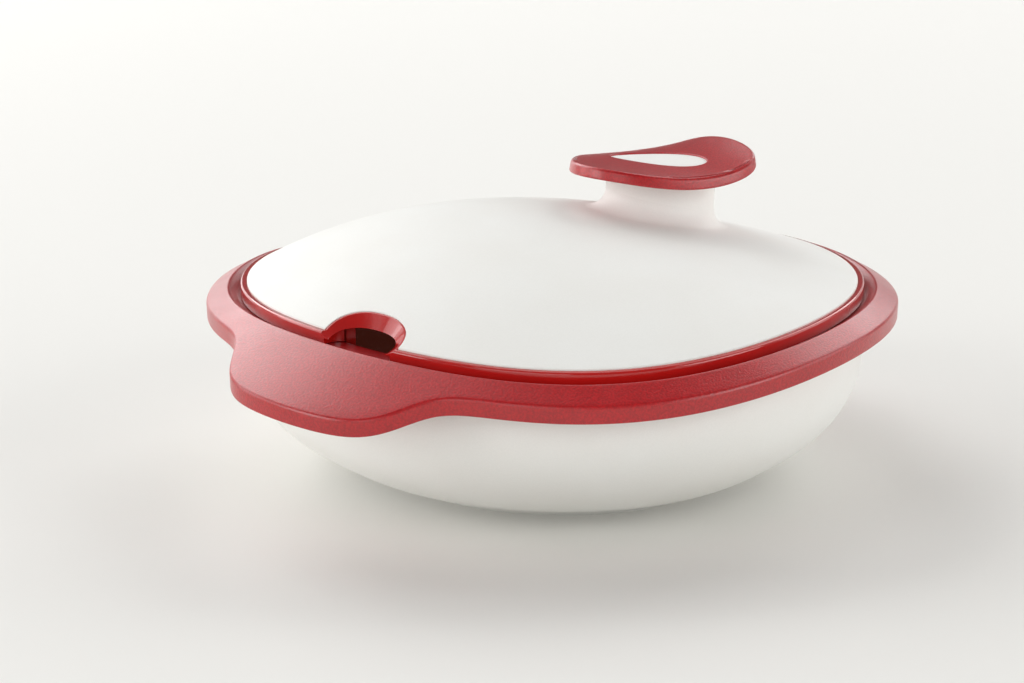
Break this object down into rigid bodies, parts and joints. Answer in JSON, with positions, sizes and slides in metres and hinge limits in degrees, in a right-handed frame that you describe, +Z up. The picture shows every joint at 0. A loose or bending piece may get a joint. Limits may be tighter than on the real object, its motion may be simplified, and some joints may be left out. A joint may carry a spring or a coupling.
{
  "type": "insulated casserole",
  "caption": "Round double-walled serving casserole with a saddle-shaped rim ring, two handle tabs and a domed lift-off lid with a knob and a spoon notch.",
  "frame": {"origin": "bottom centre of the overall box, on the table under the bowl's axis", "axes": "+Z up, +X along the handle axis with the spoon notch at -X, +Y across the handles"},
  "size_m": [0.2996, 0.26, 0.1215],
  "materials": {
    "white_satin": "satin moulded white plastic",
    "white_inner": "smooth moulded white plastic",
    "red_matt": "matt, finely textured deep red plastic",
    "red_gloss": "glossy deep red plastic",
    "foam": "rigid insulating foam"
  },
  "bodies": {
    "bowl": {"outer_shell": "white_satin", "base_plug": "white_satin", "bowl_foam": "foam", "inner_bowl": "white_inner", "rim_ring": "red_matt"},
    "lid": {"lid_shell": "white_satin", "lid_liner": "red_gloss", "lid_foam": "foam", "knob_ring": "red_matt", "knob_cap": "white_satin"}
  },
  "joints": [
    {"name": "lid_lift", "type": "slide", "parent": "bowl", "child": "lid", "axis": [0, 0, 1], "range_m": [0, 0.15]}
  ]
}
